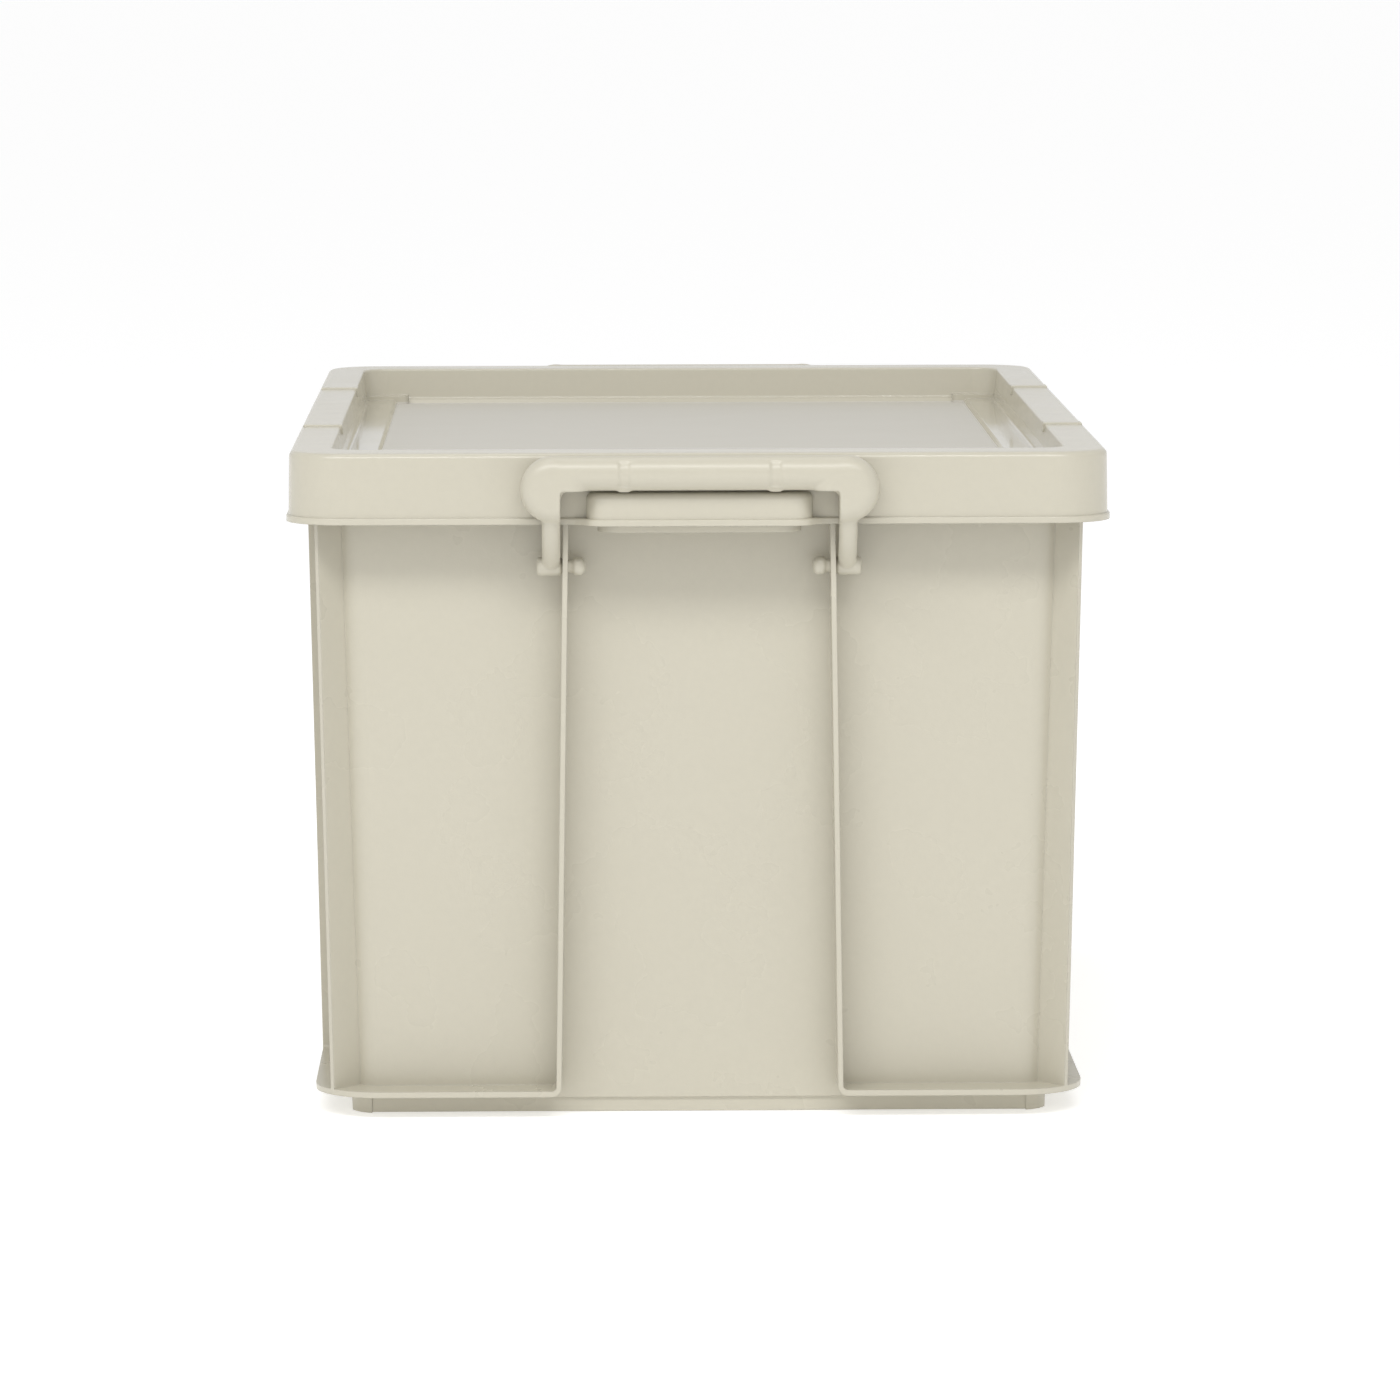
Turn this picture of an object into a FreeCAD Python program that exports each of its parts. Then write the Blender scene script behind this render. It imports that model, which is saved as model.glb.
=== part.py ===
"""Lidded storage box: a ribbed bin, a recessed stacking lid and two bail handles that lock the lid.

Frame: millimetres, +Z up, origin at the bottom centre of the bin. The handle ends face -Y and +Y.
Everything is modelled closed and locked: the lid is on and both handles are up.
"""
import FreeCAD, Part
import math
import os

V = FreeCAD.Vector
ORIGIN = V(0, 0, 0)
UP = V(0, 0, 1)

# --- bin wall: a rounded rectangle that widens with height
FOOT_HALF_X = 127.2
FOOT_HALF_Y = 198.4
WALL_CORNER = 11.0
WALL_SLOPE = 0.026         # growth of each half width per mm of height
WALL = 2.0
NECK_Z = 219.9             # the wall steps out to the collar here

# --- foot ring and floor
FLOOR_Z = 5.0              # underside of the floor plate
FLOOR = 2.2
FOOT_WALL = 2.6
POST_X = 119.3             # the corner posts start here along the ends
POST_Y = 190.5             # and here along the sides
FOOT_RELIEF = 0.7          # straight foot parts sit back from the posts
FOOT_RELIEF_Z = 5.5
FOOT_LIFT = 0.3            # and end this far above the ground

# --- collar, rim flange and turned-down skirt under the lid
RIM_Z = 240.8
COLLAR_HALF_X = 137.4
COLLAR_HALF_Y = 208.4
COLLAR_CORNER = 13.4
SKIRT_HALF_X = 144.4
SKIRT_HALF_Y = 216.9
SKIRT_CORNER = 16.5

# --- ribs, base flange and corner fins end on one tapered envelope
ENVELOPE_HALF_X = 139.9
ENVELOPE_HALF_Y = 212.4
ENVELOPE_CORNER = 24.5
ENVELOPE_SLOPE = 0.0203
RIB = 1.9
END_RIB_TOP_X = 47.9       # rib centre on the handle ends, at the neck
END_RIB_BASE_X = 51.2      # and at the base flange
SIDE_RIB_TOP_Y = 113.4
SIDE_RIB_BASE_Y = 117.0
FLANGE_Z = 8.0
FLANGE = 2.2
RIB_BEND = 3.6             # outside radius where a rib turns into the base flange

# --- lid
LID_TOP = 243.0
LIP_Z = 217.5
LIP = 2.4
LIP_OUT = 0.8
LID_HALF_X = 147.5
LID_HALF_Y = 220.0
LID_CORNER = 20.0
LID_SLOPE = 0.015
LID_WALL = 2.0
LID_EDGE = 2.4
INNER_EDGE = 0.9           # fillet on the recess's top edge
RECESS_HALF_X = 132.4
RECESS_HALF_Y = 201.0
RECESS_CORNER = 10.0
BAND_Z = 230.5             # side bands, beside the slightly lower centre panel
BAND_INSET = 1.4           # draft of the recess wall
BAND_FILLET = 1.2
PANEL_Z = 228.9
PANEL_HALF_X = 118.4
PANEL_HALF_Y = 196.6
PANEL_CORNER = 6.0
PANEL_SLOPE = 1.4          # width of the sloping step round the panel
PAD_INNER_X = 114.0        # low corner pads below another bin's foot posts, which stop short of them
PAD_INNER_Y = 192.6
PAD_RISE = 1.8
PAD_CORNER = 2.5
BEAD_Y = 93.0              # shallow beads across the side rims
BEAD_LENGTH = 8.0
BEAD_RISE = 0.7
BEAD_DROP = 3.0            # how far a bead runs down the recess wall

# --- end tabs: the handles close over the lid's tabs, the bin's tabs sit inside them
TAB_HALF_X = 40.5
TAB_FRONT = 228.0
TAB_TOP = 229.4
TAB_CORNER = 7.0
TAB_EDGE = 2.6
TAB_FLARE = 14.0           # width of the lip's S-shaped run from skirt to tab
BIN_TAB_HALF_X = 36.5
BIN_TAB_FRONT = 225.4
BIN_TAB_TOP = 226.6
BIN_TAB_BOTTOM = 214.9
BIN_TAB_CORNER = 9.0
BIN_TAB_EDGE = 1.0

# --- handle
PIVOT_Y = -211.5
PIVOT_Z = 201.6
GRIP_Y = -228.0
GRIP_Z = 236.5
GRIP_R = 6.2
SHOULDER_X = 52.1
SHOULDER_Z = 230.8
SHOULDER_R = 12.1
SHOULDER_ROUND = 6.1
ARM_R = 3.35
ARM_X = 53.15
ARM_BEND_R = 26.0
ARM_BEND_DEG = 60.0
ARM_BEND_Z = 226.9
INNER_CORNER = 3.0
INNER_CORNER_HALF = 4.0    # half its depth along Y
BOSS_R = 3.4
BOSS_IN = 49.5
BOSS_OUT = 58.4
BOSS_ROUND = 1.2
PIN_R = 2.35
PIN_HOLE_R = 2.42
PIN_HEAD_R = 3.3
PIN_HEAD_IN = 40.9
PIN_HEAD_OUT = 45.3
PIN_HEAD_ROUND = 2.2
PIN_HEAD_LEAD = 0.8
DIMPLE_X = 27.0
DIMPLE_WIDTH = 4.2
DIMPLE_HEIGHT = 9.6
DIMPLE_DEPTH = 0.6
NUB = 0.5
NUB_HALF_Y = 2.0
NUB_ROUND = 0.35

MARGIN = 5.0               # how far a cutting tool runs past what it cuts


def box(x0, x1, y0, y1, z0, z1):
    """Axis-aligned block between two corners."""
    return Part.makeBox(x1 - x0, y1 - y0, z1 - z0, V(x0, y0, z0))


def mirror_x(shape):
    """Copy on the other side of the YZ plane."""
    return shape.mirror(ORIGIN, V(1, 0, 0))


def turned(shape):
    """Copy at the opposite end of the box."""
    copy = shape.copy()
    copy.rotate(ORIGIN, UP, 180)
    return copy


def four_ways(shape):
    """The shape and its copies in the other three quadrants."""
    pair = [shape, mirror_x(shape)]
    return pair + [turned(s) for s in pair]


def fuse(shapes):
    """One solid from overlapping shapes."""
    return shapes[0].multiFuse(shapes[1:]).removeSplitter()


def arc(start, end, centre, radius, z):
    """Arc of a circle from start to end, the short way round."""
    middle = V((start[0] + end[0]) / 2 - centre[0], (start[1] + end[1]) / 2 - centre[1], 0)
    middle.multiply(radius / middle.Length)
    mid = V(centre[0] + middle.x, centre[1] + middle.y, z)
    return Part.Arc(V(start[0], start[1], z), mid, V(end[0], end[1], z)).toShape()


def rounded_outline(section):
    """Closed rounded rectangle. A section is (half_x, half_y, corner radius, z)."""
    hx, hy, r, z = section
    edges = []
    for sx, sy in ((1, -1), (1, 1), (-1, 1), (-1, -1)):
        centre = (sx * (hx - r), sy * (hy - r))
        on_side = (sx * hx, centre[1])
        on_end = (centre[0], sy * hy)
        start, end = (on_end, on_side) if sx * sy < 0 else (on_side, on_end)
        if edges:
            edges.append(Part.makeLine(edges[-1].Vertexes[-1].Point, V(start[0], start[1], z)))
        edges.append(arc(start, end, centre, r, z))
    edges.append(Part.makeLine(edges[-1].Vertexes[-1].Point, edges[0].Vertexes[0].Point))
    return Part.Wire(edges)


def tapered(low, high):
    """Solid between two rounded rectangles at different heights."""
    return Part.makeLoft([rounded_outline(low), rounded_outline(high)], True, True)


def fillet_where(solid, radius, test):
    """Fillet the edges whose middle point passes the test."""
    edges = [e for e in solid.Edges if test(e.valueAt((e.FirstParameter + e.LastParameter) / 2))]
    return solid.makeFillet(radius, edges)


# ---------------------------------------------------------------- bin

def wall_section(z, inset=0.0):
    """Section of the bin wall at a height."""
    grow = z * WALL_SLOPE - inset
    return (FOOT_HALF_X + grow, FOOT_HALF_Y + grow, WALL_CORNER - inset, z)


def envelope_section(z):
    """Outer limit of the ribs, flange and fins at a height."""
    grow = z * ENVELOPE_SLOPE
    return (ENVELOPE_HALF_X + grow, ENVELOPE_HALF_Y + grow, ENVELOPE_CORNER, z)


def inset_section(section, inset, z):
    """The same rounded rectangle, drawn in by inset and moved to z."""
    hx, hy, r, _ = section
    return (hx - inset, hy - inset, r - inset, z)


def rib_with_flange(top, base, reach_in, reach_out):
    """A rib that bends into the base flange, drawn in XZ and run along -Y."""
    lean = (base - top) / (NECK_Z - FLANGE_Z)
    flange_top = FLANGE_Z + FLANGE
    far = ENVELOPE_HALF_Y + MARGIN
    half = RIB / 2
    inner_x = base - lean * FLANGE + half
    points = [
        (top - half, NECK_Z),
        (base - half, FLANGE_Z),
        (far, FLANGE_Z),
        (far, flange_top),
        (inner_x, flange_top),
        (top + half, NECK_Z),
    ]
    corners = [V(x, -reach_in, z) for x, z in points]
    face = Part.Face(Part.makePolygon(corners + corners[:1]))
    solid = face.extrude(V(0, reach_in - reach_out, 0))
    solid = fillet_where(solid, RIB_BEND, lambda p: abs(p.x - base + half) < 0.1 and p.z < FLANGE_Z + 0.1)
    return fillet_where(solid, RIB_BEND - RIB,
                        lambda p: abs(p.x - inner_x) < 0.1 and abs(p.z - flange_top) < 0.1)


def corner_fin():
    """Diagonal plate from the wall's corner to the envelope."""
    start_x = FOOT_HALF_X - WALL_CORNER
    start_y = FOOT_HALF_Y - WALL_CORNER
    fin = box(0, SKIRT_HALF_X - start_x + MARGIN, -RIB / 2, RIB / 2, FLANGE_Z, NECK_Z)
    fin.rotate(ORIGIN, UP, -45)
    fin.translate(V(start_x, -start_y, 0))
    return fin


def rib_cage():
    """All ribs, fins and the base flange, trimmed to the envelope."""
    end_rib = rib_with_flange(END_RIB_TOP_X, END_RIB_BASE_X, FOOT_HALF_Y - MARGIN, SKIRT_HALF_Y + MARGIN)
    side_rib = rib_with_flange(SIDE_RIB_TOP_Y, SIDE_RIB_BASE_Y, FOOT_HALF_X - MARGIN, SKIRT_HALF_X + MARGIN)
    side_rib = mirror_x(side_rib)
    side_rib.rotate(ORIGIN, UP, 90)
    envelope = tapered(envelope_section(0.0), envelope_section(NECK_Z))
    return four_ways(fuse([end_rib, side_rib, corner_fin()]).common(envelope))


def bin_tab():
    """Hollow tab at the front rim of the bin: its outer block and its hollow."""
    back = SKIRT_HALF_Y - WALL / 2
    outer = box(-BIN_TAB_HALF_X, BIN_TAB_HALF_X, -BIN_TAB_FRONT, -back, BIN_TAB_BOTTOM, BIN_TAB_TOP)
    outer = fillet_where(outer, BIN_TAB_CORNER,
                         lambda p: p.y < -BIN_TAB_FRONT + 0.1 and abs(abs(p.x) - BIN_TAB_HALF_X) < 0.1)
    outer = fillet_where(outer, BIN_TAB_EDGE, lambda p: p.z > BIN_TAB_TOP - 0.1 and p.y < -back - 0.1)
    half = BIN_TAB_HALF_X - WALL
    hollow = box(-half, half, -BIN_TAB_FRONT + WALL, -COLLAR_HALF_Y,
                 BIN_TAB_BOTTOM - MARGIN, BIN_TAB_TOP - WALL)
    hollow = fillet_where(hollow, BIN_TAB_CORNER - WALL,
                          lambda p: p.y < -BIN_TAB_FRONT + WALL + 0.1 and abs(abs(p.x) - half) < 0.1)
    return outer, hollow


def pin_holes():
    """Bores through the end ribs for the handle pins."""
    bore = Part.makeCylinder(PIN_HOLE_R, 2 * BOSS_OUT, V(-BOSS_OUT, PIVOT_Y, PIVOT_Z), V(1, 0, 0))
    return [bore, turned(bore)]


def foot_relief():
    """Cutters that set the straight foot parts back from the corner posts and off the ground."""
    end = box(-POST_X, POST_X, -FOOT_HALF_Y - MARGIN, -FOOT_HALF_Y + FOOT_RELIEF, -MARGIN, FOOT_RELIEF_Z)
    side = box(FOOT_HALF_X - FOOT_RELIEF, FOOT_HALF_X + MARGIN, -POST_Y, POST_Y, -MARGIN, FOOT_RELIEF_Z)
    end_lift = box(-POST_X, POST_X, -FOOT_HALF_Y - MARGIN, -FOOT_HALF_Y + MARGIN, -MARGIN, FOOT_LIFT)
    side_lift = box(FOOT_HALF_X - MARGIN, FOOT_HALF_X + MARGIN, -POST_Y, POST_Y, -MARGIN, FOOT_LIFT)
    tools = [end, side, end_lift, side_lift]
    return tools + [turned(t) for t in tools]


def make_bin():
    """The open box with its collar, rim, ribs and tabs."""
    collar = (COLLAR_HALF_X, COLLAR_HALF_Y, COLLAR_CORNER, NECK_Z)
    skirt = (SKIRT_HALF_X, SKIRT_HALF_Y, SKIRT_CORNER, NECK_Z)
    wall = tapered(wall_section(0.0), wall_section(NECK_Z + WALL))
    collar_solid = tapered(collar, inset_section(collar, 0.0, RIM_Z))
    rim = tapered(skirt, inset_section(skirt, 0.5, RIM_Z))
    rim = fillet_where(rim, 1.2, lambda p: p.z > RIM_Z - 0.1)
    under_rim = tapered(inset_section(skirt, WALL, NECK_Z - MARGIN),
                        inset_section(skirt, WALL + 0.5, RIM_Z - WALL))
    under_rim = under_rim.cut(collar_solid)
    under_rim = under_rim.cut(box(-SKIRT_HALF_X, SKIRT_HALF_X, -SKIRT_HALF_Y, SKIRT_HALF_Y, 0, NECK_Z))
    tab, tab_hollow = bin_tab()
    outer = fuse([wall, collar_solid, rim] + rib_cage() + [tab, turned(tab)])
    cavity = tapered(wall_section(FLOOR_Z + FLOOR, WALL), wall_section(NECK_Z + WALL, WALL))
    cavity = fillet_where(cavity, 4.0, lambda p: p.z < FLOOR_Z + FLOOR + 0.1)
    collar_cavity = tapered(inset_section(collar, WALL, NECK_Z + WALL),
                            inset_section(collar, WALL, RIM_Z + MARGIN))
    under_floor = tapered(wall_section(-MARGIN, FOOT_WALL), wall_section(FLOOR_Z, FOOT_WALL))
    cutters = [under_rim, tab_hollow.cut(collar_solid), turned(tab_hollow.cut(collar_solid)), cavity]
    cutters += [collar_cavity, under_floor] + pin_holes() + foot_relief()
    return outer.cut(cutters).removeSplitter()


# ---------------------------------------------------------------- lid

def lid_section(z, inset=0.0):
    """Section of the lid's skirt at a height: it widens downwards."""
    grow = (LID_TOP - z) * LID_SLOPE - inset
    return (LID_HALF_X + grow, LID_HALF_Y + grow, LID_CORNER + grow, z)


def flare_edges(sign_x, sign_y, end_y, front, z):
    """S-curve of two equal arcs from the skirt line out to the tab's front line."""
    rise = front - end_y
    radius = (TAB_FLARE ** 2 + rise ** 2) / (4 * rise)
    skirt_x = TAB_HALF_X + TAB_FLARE / 2
    tab_x = TAB_HALF_X - TAB_FLARE / 2
    middle = ((skirt_x + tab_x) / 2, (end_y + front) / 2)
    runs = [((skirt_x, end_y), middle, (skirt_x, end_y + radius)),
            (middle, (tab_x, front), (tab_x, front - radius))]
    edges = []
    for start, end, centre in runs:
        signed = [(sign_x * p[0], sign_y * p[1]) for p in (start, end, centre)]
        edges.append(arc(signed[0], signed[1], signed[2], radius, z))
    return edges


def lip_outline(section, front):
    """Rounded rectangle with a flared tab in the middle of each end."""
    hx, hy, r, z = section
    edges = []
    for sign in (-1, 1):
        tab_x = TAB_HALF_X - TAB_FLARE / 2
        skirt_x = TAB_HALF_X + TAB_FLARE / 2
        for side in (-1, 1):
            centre = (side * (hx - r), sign * (hy - r))
            edges.append(arc((side * hx, centre[1]), (centre[0], sign * hy), centre, r, z))
            edges.append(Part.makeLine(V(centre[0], sign * hy, z), V(side * skirt_x, sign * hy, z)))
            edges += flare_edges(side, sign, hy, front, z)
        edges.append(Part.makeLine(V(-tab_x, sign * front, z), V(tab_x, sign * front, z)))
    for side in (-1, 1):
        edges.append(Part.makeLine(V(side * hx, r - hy, z), V(side * hx, hy - r, z)))
    return Part.Wire(Part.__sortEdges__(edges))


def make_lip():
    """Proud band round the bottom of the skirt and the tabs."""
    section = inset_section(lid_section(LIP_Z), -LIP_OUT, LIP_Z)
    face = Part.Face(lip_outline(section, TAB_FRONT + LIP_OUT))
    lip = face.extrude(V(0, 0, LIP))
    return lip.makeFillet(0.6, [e for e in lip.Edges if e.BoundBox.ZMin > LIP_Z + LIP - 0.1])


def lid_tab():
    """Tab at the front of the lid: its outer block and its hollow."""
    back = LID_HALF_Y - LID_WALL - MARGIN
    outer = box(-TAB_HALF_X, TAB_HALF_X, -TAB_FRONT, -back, LIP_Z, TAB_TOP)
    outer = fillet_where(outer, TAB_CORNER,
                         lambda p: p.y < -TAB_FRONT + 0.1 and abs(abs(p.x) - TAB_HALF_X) < 0.1)
    outer = fillet_where(outer, TAB_EDGE, lambda p: p.z > TAB_TOP - 0.1 and p.y < -back - 0.1)
    half = TAB_HALF_X - LID_WALL
    hollow = box(-half, half, -TAB_FRONT + LID_WALL, -back, LIP_Z - MARGIN, TAB_TOP - LID_WALL)
    hollow = fillet_where(hollow, TAB_CORNER - LID_WALL,
                          lambda p: p.y < -TAB_FRONT + LID_WALL + 0.1 and abs(abs(p.x) - half) < 0.1)
    return outer, hollow


def recess_section(z, inset=0.0):
    """Section of the recess at a height: its walls lean in going down."""
    drop = (LID_TOP - z) / (LID_TOP - BAND_Z) * BAND_INSET + inset
    return (RECESS_HALF_X - drop, RECESS_HALF_Y - drop, RECESS_CORNER - drop, z)


def rim_bead():
    """Shallow bead over one side rim and down the recess wall."""
    y0 = BEAD_Y - BEAD_LENGTH / 2
    y1 = BEAD_Y + BEAD_LENGTH / 2
    over = box(RECESS_HALF_X - BAND_INSET - BEAD_RISE, LID_HALF_X - LID_EDGE / 2, y0, y1,
               LID_TOP - BEAD_DROP, LID_TOP + BEAD_RISE)
    over = over.makeFillet(BEAD_RISE - 0.05, [e for e in over.Edges if e.BoundBox.ZMin > LID_TOP])
    deep = tapered(recess_section(BAND_Z - 1.0, BEAD_RISE), recess_section(LID_TOP - BEAD_RISE, BEAD_RISE))
    skirt = tapered(lid_section(LIP_Z, LID_WALL), lid_section(LID_TOP - 3 * BEAD_RISE, LID_WALL))
    high = tapered(recess_section(LID_TOP - BEAD_RISE, BEAD_RISE), recess_section(LID_TOP + MARGIN, BEAD_RISE))
    return over.cut([deep, high, skirt.cut(tapered(recess_section(LIP_Z), recess_section(LID_TOP)))])


def corner_pad():
    """Low block in one corner of the recess."""
    pad = box(PAD_INNER_X, RECESS_HALF_X, -RECESS_HALF_Y, -PAD_INNER_Y, PANEL_Z - MARGIN, BAND_Z + PAD_RISE)
    return fillet_where(pad, PAD_CORNER, lambda p: p.x < PAD_INNER_X + 0.1 and p.y > -PAD_INNER_Y - 0.1
                        and abs(p.z - PANEL_Z) < MARGIN)


def make_lid():
    """The recessed lid with its skirt, lip, tabs, pads and beads."""
    body = tapered(lid_section(LIP_Z), lid_section(LID_TOP))
    body = fillet_where(body, LID_EDGE, lambda p: p.z > LID_TOP - 0.1)
    tab, tab_hollow = lid_tab()
    pad = corner_pad()
    recess = tapered(recess_section(BAND_Z), recess_section(LID_TOP))
    recess = fillet_where(recess, BAND_FILLET, lambda p: p.z < BAND_Z + 0.1)
    recess = recess.cut(four_ways(pad))
    panel = tapered((PANEL_HALF_X, PANEL_HALF_Y, PANEL_CORNER, PANEL_Z),
                    (PANEL_HALF_X + PANEL_SLOPE, PANEL_HALF_Y + PANEL_SLOPE, PANEL_CORNER, BAND_Z))
    panel = panel.cut(four_ways(pad))
    tray = tapered(recess_section(BAND_Z - LID_WALL, -LID_WALL), recess_section(LID_TOP, -LID_WALL))
    tray_panel = tapered((PANEL_HALF_X + LID_WALL, PANEL_HALF_Y + LID_WALL, PANEL_CORNER, PANEL_Z - LID_WALL),
                         (PANEL_HALF_X + LID_WALL, PANEL_HALF_Y + LID_WALL, PANEL_CORNER, BAND_Z))
    channel = tapered(lid_section(LIP_Z - MARGIN, LID_WALL), lid_section(RIM_Z, LID_WALL))
    channel = channel.cut([tray, tray_panel])
    lid = fuse([body, make_lip(), tab, turned(tab)])
    lid = lid.cut([recess, panel, channel, tab_hollow.cut(tray), turned(tab_hollow.cut(tray))])
    lid = fillet_where(lid, INNER_EDGE, lambda p: p.z > LID_TOP - 0.01 and abs(p.x) < RECESS_HALF_X + 0.1
                       and abs(p.y) < RECESS_HALF_Y + 0.1)
    return fuse([lid] + four_ways(rim_bead()))


# ---------------------------------------------------------------- handle

def shoulder():
    """Rounded disc where the grip meets an arm, open on the finger side."""
    disc = Part.makeCylinder(SHOULDER_R, 2 * GRIP_R, V(SHOULDER_X, GRIP_Y - GRIP_R, SHOULDER_Z), V(0, 1, 0))
    rims = [e for e in disc.Edges if e.Curve.TypeId == "Part::GeomCircle"]
    disc = disc.makeFillet(SHOULDER_ROUND, rims)
    finger_side = box(0, ARM_X - ARM_R, GRIP_Y - 2 * GRIP_R, GRIP_Y + 2 * GRIP_R, 0, GRIP_Z - GRIP_R)
    return disc.cut(finger_side)


def arm():
    """Round rod from the shoulder, bent back under the lid's lip, with a domed end."""
    turn = math.radians(ARM_BEND_DEG)
    centre = V(ARM_X, GRIP_Y + ARM_BEND_R, ARM_BEND_Z)

    def on_bend(angle):
        return centre + V(0, -ARM_BEND_R * math.cos(angle), -ARM_BEND_R * math.sin(angle))

    start = V(ARM_X, GRIP_Y, SHOULDER_Z + ARM_R)
    bend = Part.Arc(on_bend(0), on_bend(turn / 2), on_bend(turn)).toShape()
    path = Part.Wire([Part.makeLine(start, on_bend(0)), bend])
    section = Part.Wire([Part.makeCircle(ARM_R, start, UP)])
    rod = path.makePipeShell([section], True, False)
    return [rod, Part.makeSphere(ARM_R, on_bend(turn))]


def inner_corner():
    """Small fillet of material between grip and arm."""
    edge = ARM_X - ARM_R
    low = GRIP_Z - GRIP_R
    block = box(edge - INNER_CORNER, edge + 1.0, GRIP_Y - INNER_CORNER_HALF, GRIP_Y + INNER_CORNER_HALF,
                low - INNER_CORNER, low + 1.0)
    scoop = Part.makeCylinder(INNER_CORNER, 4 * ARM_R,
                              V(edge - INNER_CORNER, GRIP_Y - 2 * ARM_R, low - INNER_CORNER), V(0, 1, 0))
    return block.cut(scoop)


def pivot_pin():
    """Boss, shaft and snap head on the pivot axis."""
    def rod(radius, x0, x1):
        return Part.makeCylinder(radius, x1 - x0, V(x0, PIVOT_Y, PIVOT_Z), V(1, 0, 0))

    boss = rod(BOSS_R, BOSS_IN, BOSS_OUT)
    boss = boss.makeFillet(BOSS_ROUND, [e for e in boss.Edges if e.BoundBox.XMin > BOSS_OUT - 0.1])
    head = rod(PIN_HEAD_R, PIN_HEAD_IN, PIN_HEAD_OUT)
    head = head.makeFillet(PIN_HEAD_ROUND, [e for e in head.Edges if e.BoundBox.XMax < PIN_HEAD_IN + 0.1])
    head = head.makeFillet(PIN_HEAD_LEAD, [e for e in head.Edges if e.BoundBox.XMin > PIN_HEAD_OUT - 0.1])
    return [boss, rod(PIN_R, PIN_HEAD_OUT - 1.0, BOSS_IN + 1.0), head]


def grip_marks():
    """Dimple cutters on the outside of the grip and the nubs below them."""
    dimples = []
    nubs = []
    for side in (-1, 1):
        x0 = side * DIMPLE_X - DIMPLE_WIDTH / 2
        ring = Part.makeCylinder(GRIP_R + 1.0, DIMPLE_WIDTH, V(x0, GRIP_Y, GRIP_Z), V(1, 0, 0))
        core = Part.makeCylinder(GRIP_R - DIMPLE_DEPTH, DIMPLE_WIDTH, V(x0, GRIP_Y, GRIP_Z), V(1, 0, 0))
        ring = ring.cut(core)
        window = box(x0, x0 + DIMPLE_WIDTH, GRIP_Y - 2 * GRIP_R, GRIP_Y,
                     GRIP_Z - DIMPLE_HEIGHT / 2, GRIP_Z + DIMPLE_HEIGHT / 2)
        dimples.append(ring.common(window))
        nub = box(x0, x0 + DIMPLE_WIDTH, GRIP_Y - NUB_HALF_Y, GRIP_Y + NUB_HALF_Y,
                  GRIP_Z - GRIP_R - NUB, GRIP_Z - GRIP_R + 1.0)
        nubs.append(nub.makeFillet(NUB_ROUND, [e for e in nub.Edges if e.BoundBox.ZMax < GRIP_Z - GRIP_R]))
    return dimples, nubs


def make_handle():
    """Front handle, closed over the lid's tab."""
    grip = Part.makeCylinder(GRIP_R, 2 * SHOULDER_X, V(-SHOULDER_X, GRIP_Y, GRIP_Z), V(1, 0, 0))
    side = [shoulder(), inner_corner()] + arm() + pivot_pin()
    dimples, nubs = grip_marks()
    handle = fuse([grip] + side + [mirror_x(s) for s in side] + nubs)
    return handle.cut(dimples)


def main():
    os.makedirs("parts", exist_ok=True)
    front_handle = make_handle()
    parts = {
        "bin": make_bin(),
        "lid": make_lid(),
        "front_handle": front_handle,
        "rear_handle": turned(front_handle),
    }
    for name, shape in parts.items():
        solid = shape.Solids[0] if len(shape.Solids) == 1 else shape
        solid.exportStep("parts/" + name + ".step")
        low = solid.BoundBox
        print(name, "solids", len(shape.Solids), "valid", solid.isValid(), "volume", round(solid.Volume),
              [round(v, 2) for v in (low.XMin, low.XMax, low.YMin, low.YMax, low.ZMin, low.ZMax)])


main()
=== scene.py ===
"""Looks of the lidded storage box: moulded polypropylene materials, softened handles, studio and camera.

Metres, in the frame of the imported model: +Z up, the handle ends face -Y and +Y.
"""

import math

import bpy
from mathutils import Matrix, Vector

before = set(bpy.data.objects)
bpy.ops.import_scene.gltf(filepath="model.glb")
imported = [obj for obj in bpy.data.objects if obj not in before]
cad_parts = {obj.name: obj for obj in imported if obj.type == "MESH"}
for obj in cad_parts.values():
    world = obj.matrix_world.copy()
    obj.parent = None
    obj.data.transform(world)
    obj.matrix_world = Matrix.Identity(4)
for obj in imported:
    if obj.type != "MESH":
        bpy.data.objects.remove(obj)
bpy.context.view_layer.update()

MM = 0.001
BEIGE = (0.520, 0.491, 0.402)        # linear colour of the polypropylene
PANEL_BEIGE_AND_SHEEN = (0.545, 0.525, 0.470)   # the lid's grained centre panel, with a painted sheen: the grey reflection on its top face is painted into its colour
FLOOR_WHITE = (0.80, 0.80, 0.80)
FLOOR_GLOW = 0.46                    # keeps the studio floor white out to the horizon

HANDLE_VOXEL = 0.45 * MM             # the handles are remeshed this finely
HANDLE_SMOOTHING = 8                 # and smoothed this often, to blend their shapes as a moulding does
EDGE_RADIUS = 0.6 * MM               # shading radius on the mouldings' edges
GRAIN_STRENGTH = 0.5
WAVE_SHARE = 0.25                    # share of the long shallow waves, beside the fine grain

CLOUD_SCALE = 9.0                    # noise scales, in features per metre
GLOSS_SCALE = 26.0
WAVE_SCALE = 60.0
WEAR_AND_HIGHLIGHT_SCALE = 140.0
SPECKLE_SCALE = 420.0
GRAIN_SCALE = 1500.0
CLOUD_DARK = 0.98                    # factors on a plastic's colour
CLOUD_LIGHT = 1.02
SPECKLE_DARK = 0.95
SPECKLE_SHARE = 0.25
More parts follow.
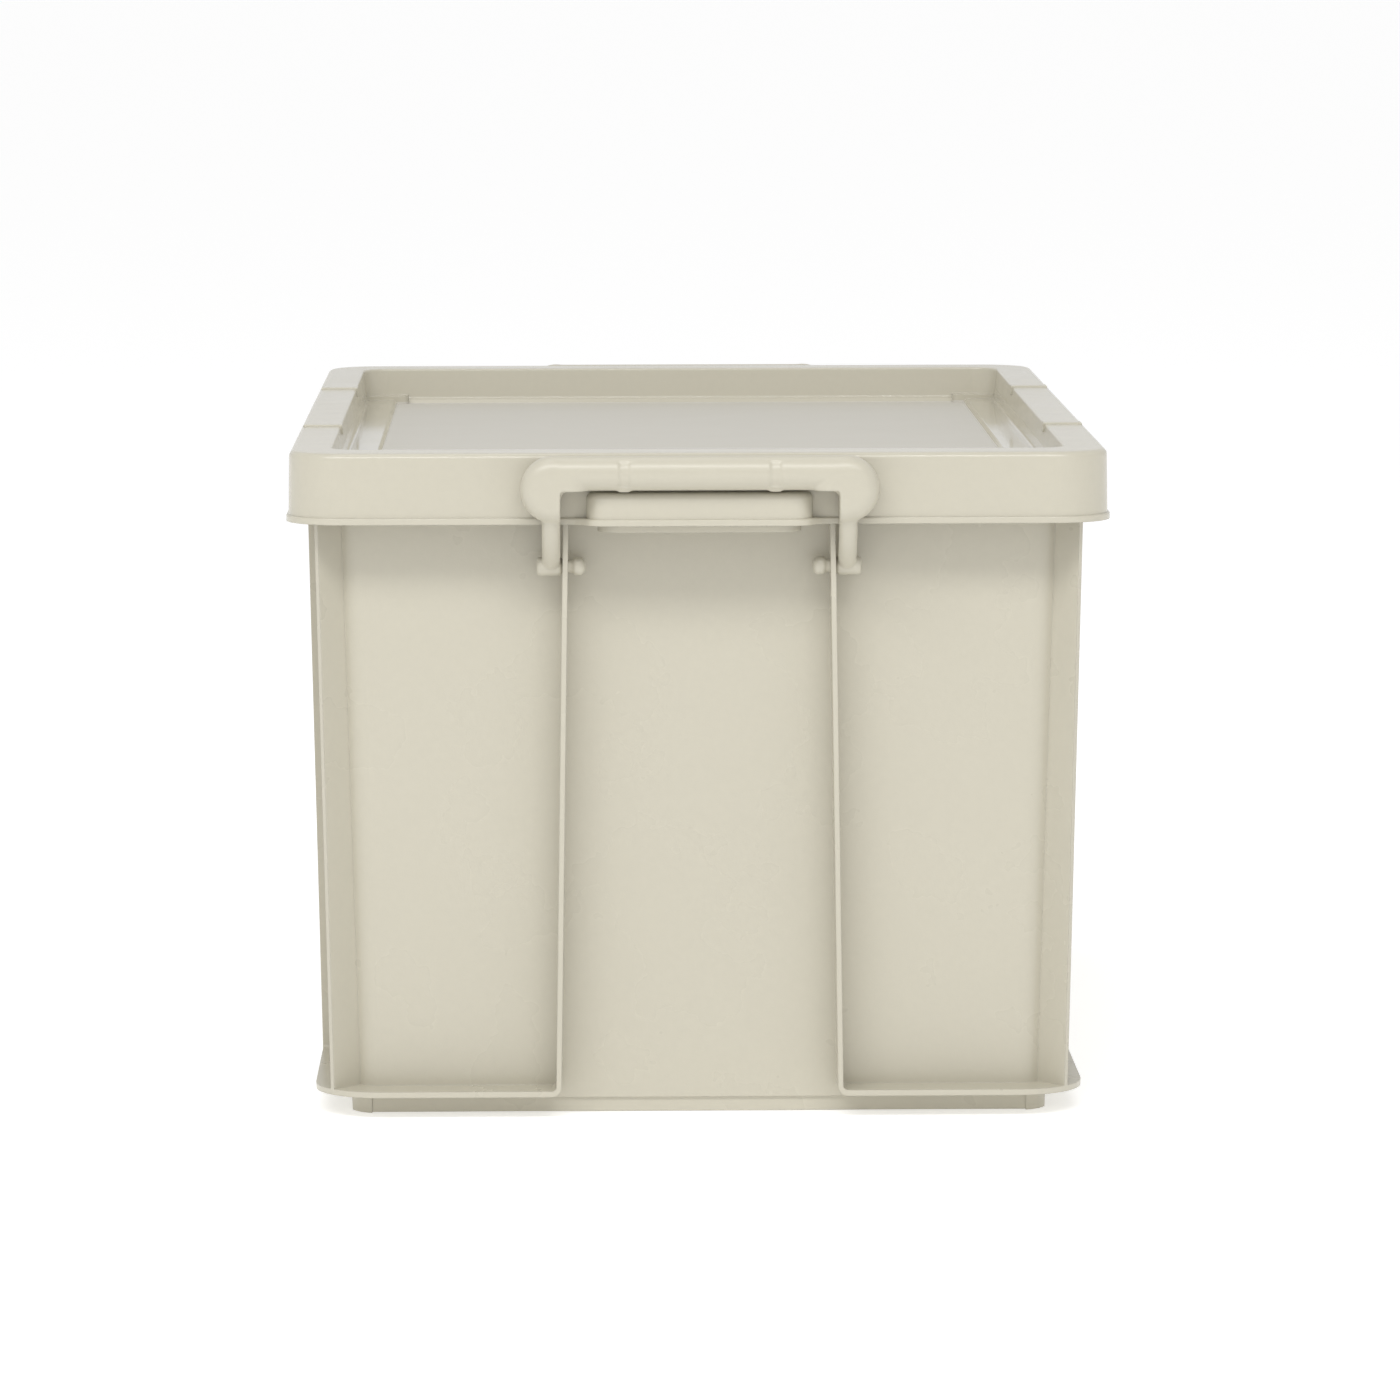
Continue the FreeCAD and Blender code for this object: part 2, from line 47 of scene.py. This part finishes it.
# edges are painted this much lighter, partly as wear and partly as painted highlights
WORN_AND_HIGHLIGHT_LIGHT = 1.16
WORN_AND_HIGHLIGHT_SHARE = 0.35
GLOSSIER = 0.05                      # roughness varies by this much down
DULLER = 0.07                        # and up
PLASTIC_IOR = 1.49

HORIZON_LIGHT = 0.80
ZENITH_LIGHT = 0.55
OVERHEAD_PLACE = (-0.2, 0.1, 1.9)
OVERHEAD_WATTS = 3
STRIP_PLACE = (-0.2, -1.5, 1.9)      # wide, in front of the box and above it
STRIP_WATTS = 30
FLOOR_HALF = 40.0

CAMERA_PLACE = (-0.0458, -2.6244, 0.4469)
CAMERA_PITCH_DOWN = 6.944
CAMERA_YAW = 1.093                   # towards +X from looking along +Y
CAMERA_ROLL = -0.091
CAMERA_LENS = 173.4
SENSOR_WIDTH = 36.0


# ---------------------------------------------------------------- material nodes

class Graph:
    """A material's node tree, with one method for each kind of node that the plastics use."""

    def __init__(self, name):
        self.material = bpy.data.materials.new(name)
        self.material.use_nodes = True
        self.tree = self.material.node_tree
        self.tree.nodes.clear()

    def node(self, kind, inputs=None, **settings):
        """A node with its settings, and its inputs as values or other sockets."""
        made = self.tree.nodes.new(kind)
        for key, value in settings.items():
            setattr(made, key, value)
        for key, value in (inputs or {}).items():
            if isinstance(value, bpy.types.NodeSocket):
                self.tree.links.new(value, made.inputs[key])
            else:
                made.inputs[key].default_value = value
        return made

    def math(self, operation, *values):
        made = self.node("ShaderNodeMath", dict(enumerate(values)), operation=operation)
        return made.outputs[0]

    def place(self):
        return self.node("ShaderNodeTexCoord").outputs["Object"]

    def noise(self, scale, detail=3.0, roughness=0.5):
        """Noise with its features 1/scale metres wide, as a number about 0.5."""
        made = self.node("ShaderNodeTexNoise", {"Vector": self.place(), "Scale": scale,
                                                "Detail": detail, "Roughness": roughness})
        return made.outputs["Fac"]

    def between(self, value, low, high, to_low, to_high):
        """value from low..high, mapped to to_low..to_high and held there."""
        made = self.node("ShaderNodeMapRange", {"Value": value, "From Min": low, "From Max": high,
                                                "To Min": to_low, "To Max": to_high})
        return made.outputs["Result"]

    def mixed(self, factor, first, second):
        """Colour between two colours."""
        made = self.node("ShaderNodeMix", {"Factor": factor}, data_type="RGBA")
        for socket, value in (("A", first), ("B", second)):
            target = [s for s in made.inputs if s.name == socket and s.type == "RGBA"][0]
            if isinstance(value, bpy.types.NodeSocket):
                self.tree.links.new(value, target)
            else:
                target.default_value = (*value, 1.0)
        return [s for s in made.outputs if s.type == "RGBA"][0]


def tinted(colour, factor):
    return tuple(channel * factor for channel in colour)


def edge_wear_and_highlight(graph, rounded):
    """1 on convex and concave edges, 0 on flat faces, broken up by noise: the edges painted lighter, partly
    as wear and partly as painted highlights.
    """
    flat = graph.node("ShaderNodeNewGeometry").outputs["Normal"]
    facing = graph.node("ShaderNodeVectorMath", {0: rounded, 1: flat}, operation="DOT_PRODUCT")
    edge = graph.between(facing.outputs["Value"], 0.80, 0.99, 1.0, 0.0)
    return graph.math("MULTIPLY", edge, graph.between(graph.noise(WEAR_AND_HIGHLIGHT_SCALE), 0.35, 0.65, 0.3, 1.0))


def region(graph, half_x, half_y, top):
    """1 inside a box about the Z axis and below top, 0 elsewhere."""
    x, y, z = graph.node("ShaderNodeSeparateXYZ", {0: graph.place()}).outputs
    inside = graph.math("MULTIPLY", graph.math("LESS_THAN", graph.math("ABSOLUTE", x), half_x),
                        graph.math("LESS_THAN", graph.math("ABSOLUTE", y), half_y))
    return graph.math("MULTIPLY", inside, graph.math("LESS_THAN", z, top))


def plastic(name, colour, roughness, grain_depth, areas=()):
    """Moulded polypropylene: mottled colour, fine grain, uneven gloss, and edges painted lighter, partly as
    wear and partly as painted highlights.

    areas lists what differs from the rest: (region box, colour or None, roughness added, grain strength).
    """
    graph = Graph(name)
    rounded = graph.node("ShaderNodeBevel", {"Radius": EDGE_RADIUS}, samples=4).outputs["Normal"]
    clouds = graph.noise(CLOUD_SCALE, 4.0)
    speckle = graph.between(graph.noise(SPECKLE_SCALE, 2.0), 0.35, 0.65, 0.0, SPECKLE_SHARE)
    base = graph.mixed(clouds, tinted(colour, CLOUD_DARK), tinted(colour, CLOUD_LIGHT))
    base = graph.mixed(speckle, base, tinted(colour, SPECKLE_DARK))
    gloss = graph.between(graph.noise(GLOSS_SCALE, 4.0), 0.0, 1.0, roughness - GLOSSIER, roughness + DULLER)
    strength = GRAIN_STRENGTH
    for limits, area_colour, rougher, area_strength in areas:
        inside = region(graph, *limits)
        if area_colour:
            base = graph.mixed(inside, base, area_colour)
        gloss = graph.math("ADD", gloss, graph.math("MULTIPLY", inside, rougher))
        change = graph.math("MULTIPLY", inside, area_strength - GRAIN_STRENGTH)
        strength = graph.math("ADD", strength, change)
    # edges painted lighter: partly wear, partly painted highlights along the rounded edges
    worn_and_highlight = graph.math("MULTIPLY", edge_wear_and_highlight(graph, rounded), WORN_AND_HIGHLIGHT_SHARE)
    base = graph.mixed(worn_and_highlight, base, tinted(colour, WORN_AND_HIGHLIGHT_LIGHT))
    fine = graph.noise(GRAIN_SCALE, 2.0)
    waves = graph.math("MULTIPLY", graph.noise(WAVE_SCALE, 2.0), WAVE_SHARE)
    grain = graph.math("ADD", fine, waves)
    bump = graph.node("ShaderNodeBump", {"Height": grain, "Distance": grain_depth, "Strength": strength,
                                         "Normal": rounded})
    shader = graph.node("ShaderNodeBsdfPrincipled", {"Base Color": base, "Roughness": gloss,
                                                     "IOR": PLASTIC_IOR, "Normal": bump.outputs["Normal"]})
    output = graph.node("ShaderNodeOutputMaterial")
    graph.tree.links.new(shader.outputs["BSDF"], output.inputs["Surface"])
    return graph.material


def floor_material():
    """Matte white that glows a little."""
    graph = Graph("floor_white")
    shader = graph.node("ShaderNodeBsdfPrincipled",
                        {"Base Color": (*FLOOR_WHITE, 1.0), "Roughness": 0.85, "Specular IOR Level": 0.2,
                         "Emission Color": (1.0, 1.0, 1.0, 1.0), "Emission Strength": FLOOR_GLOW})
    output = graph.node("ShaderNodeOutputMaterial")
    graph.tree.links.new(shader.outputs["BSDF"], output.inputs["Surface"])
    return graph.material


def paint(node, material):
    """Gives a CAD node one material."""
    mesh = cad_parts[node].data
    mesh.materials.clear()
    mesh.materials.append(material)


# ---------------------------------------------------------------- shapes

def soften(node):
    """Blends a handle's crossing shapes into one rounded moulding, on top of its CAD mesh."""
    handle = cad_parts[node]
    remesh = handle.modifiers.new("one_skin", "REMESH")
    remesh.mode = "VOXEL"
    remesh.voxel_size = HANDLE_VOXEL
    remesh.use_smooth_shade = True
    smooth = handle.modifiers.new("blended", "SMOOTH")
    smooth.factor = 0.5
    smooth.iterations = HANDLE_SMOOTHING


# ---------------------------------------------------------------- studio

def area_light(name, place, target, width, depth, watts):
    data = bpy.data.lights.new(name, "AREA")
    data.shape = "RECTANGLE"
    data.size = width
    data.size_y = depth
    data.energy = watts
    light = bpy.data.objects.new(name, data)
    light.location = place
    light.rotation_euler = (Vector(target) - Vector(place)).to_track_quat("-Z", "Y").to_euler()
    bpy.context.scene.collection.objects.link(light)


def make_floor():
    mesh = bpy.data.meshes.new("floor")
    corners = [(-FLOOR_HALF, -FLOOR_HALF, 0), (FLOOR_HALF, -FLOOR_HALF, 0),
               (FLOOR_HALF, FLOOR_HALF, 0), (-FLOOR_HALF, FLOOR_HALF, 0)]
    mesh.from_pydata(corners, [], [(0, 1, 2, 3)])
    mesh.materials.append(floor_material())
    floor = bpy.data.objects.new("floor", mesh)
    bpy.context.scene.collection.objects.link(floor)


def light_studio():
    """White surroundings, brighter towards the horizon, with soft lights above and in front."""
    world = bpy.data.worlds.new("studio")
    world.use_nodes = True
    tree = world.node_tree
    background = tree.nodes["Background"]
    background.inputs["Color"].default_value = (1.0, 1.0, 1.0, 1.0)
    direction = tree.nodes.new("ShaderNodeTexCoord").outputs["Generated"]
    split = tree.nodes.new("ShaderNodeSeparateXYZ")
    ramp = tree.nodes.new("ShaderNodeMapRange")
    ramp.inputs["From Min"].default_value = 0.0
    ramp.inputs["From Max"].default_value = 1.0
    ramp.inputs["To Min"].default_value = HORIZON_LIGHT
    ramp.inputs["To Max"].default_value = ZENITH_LIGHT
    tree.links.new(direction, split.inputs[0])
    tree.links.new(split.outputs["Z"], ramp.inputs["Value"])
    tree.links.new(ramp.outputs["Result"], background.inputs["Strength"])
    bpy.context.scene.world = world
    middle = (0, 0, 0.12)
    area_light("overhead", OVERHEAD_PLACE, middle, 1.6, 0.5, OVERHEAD_WATTS)
    area_light("front_strip", STRIP_PLACE, middle, 2.6, 0.5, STRIP_WATTS)


def place_camera():
    data = bpy.data.cameras.new("camera")
    data.lens = CAMERA_LENS
    data.sensor_width = SENSOR_WIDTH
    data.clip_end = 200
    camera = bpy.data.objects.new("camera", data)
    turn = Matrix.Rotation(math.radians(-CAMERA_YAW), 4, "Z")
    tilt = Matrix.Rotation(math.radians(90 - CAMERA_PITCH_DOWN), 4, "X")
    roll = Matrix.Rotation(math.radians(CAMERA_ROLL), 4, "Z")
    camera.matrix_world = Matrix.Translation(CAMERA_PLACE) @ turn @ tilt @ roll
    bpy.context.scene.collection.objects.link(camera)
    bpy.context.scene.camera = camera


# ---------------------------------------------------------------- the scene

bin_plastic = plastic("bin_plastic", BEIGE, 0.27, 0.05 * MM)
recess = ((0.1315, 0.2005, 0.2400), None, -0.09, 0.05)
# the grained centre panel, its colour greyer and lighter as a painted sheen of the reflection on its top
# face
panel = ((0.1186, 0.1968, 0.2299), PANEL_BEIGE_AND_SHEEN, 0.42, 0.9)
lid_plastic = plastic("lid_plastic", BEIGE, 0.17, 0.07 * MM, areas=(recess, panel))
handle_plastic = plastic("handle_plastic", BEIGE, 0.30, 0.03 * MM)

paint("bin", bin_plastic)
paint("lid", lid_plastic)
for handle_node in ("front_handle", "rear_handle"):
    paint(handle_node, handle_plastic)
    soften(handle_node)

make_floor()
light_studio()
place_camera()
bpy.context.scene.view_settings.view_transform = "Standard"
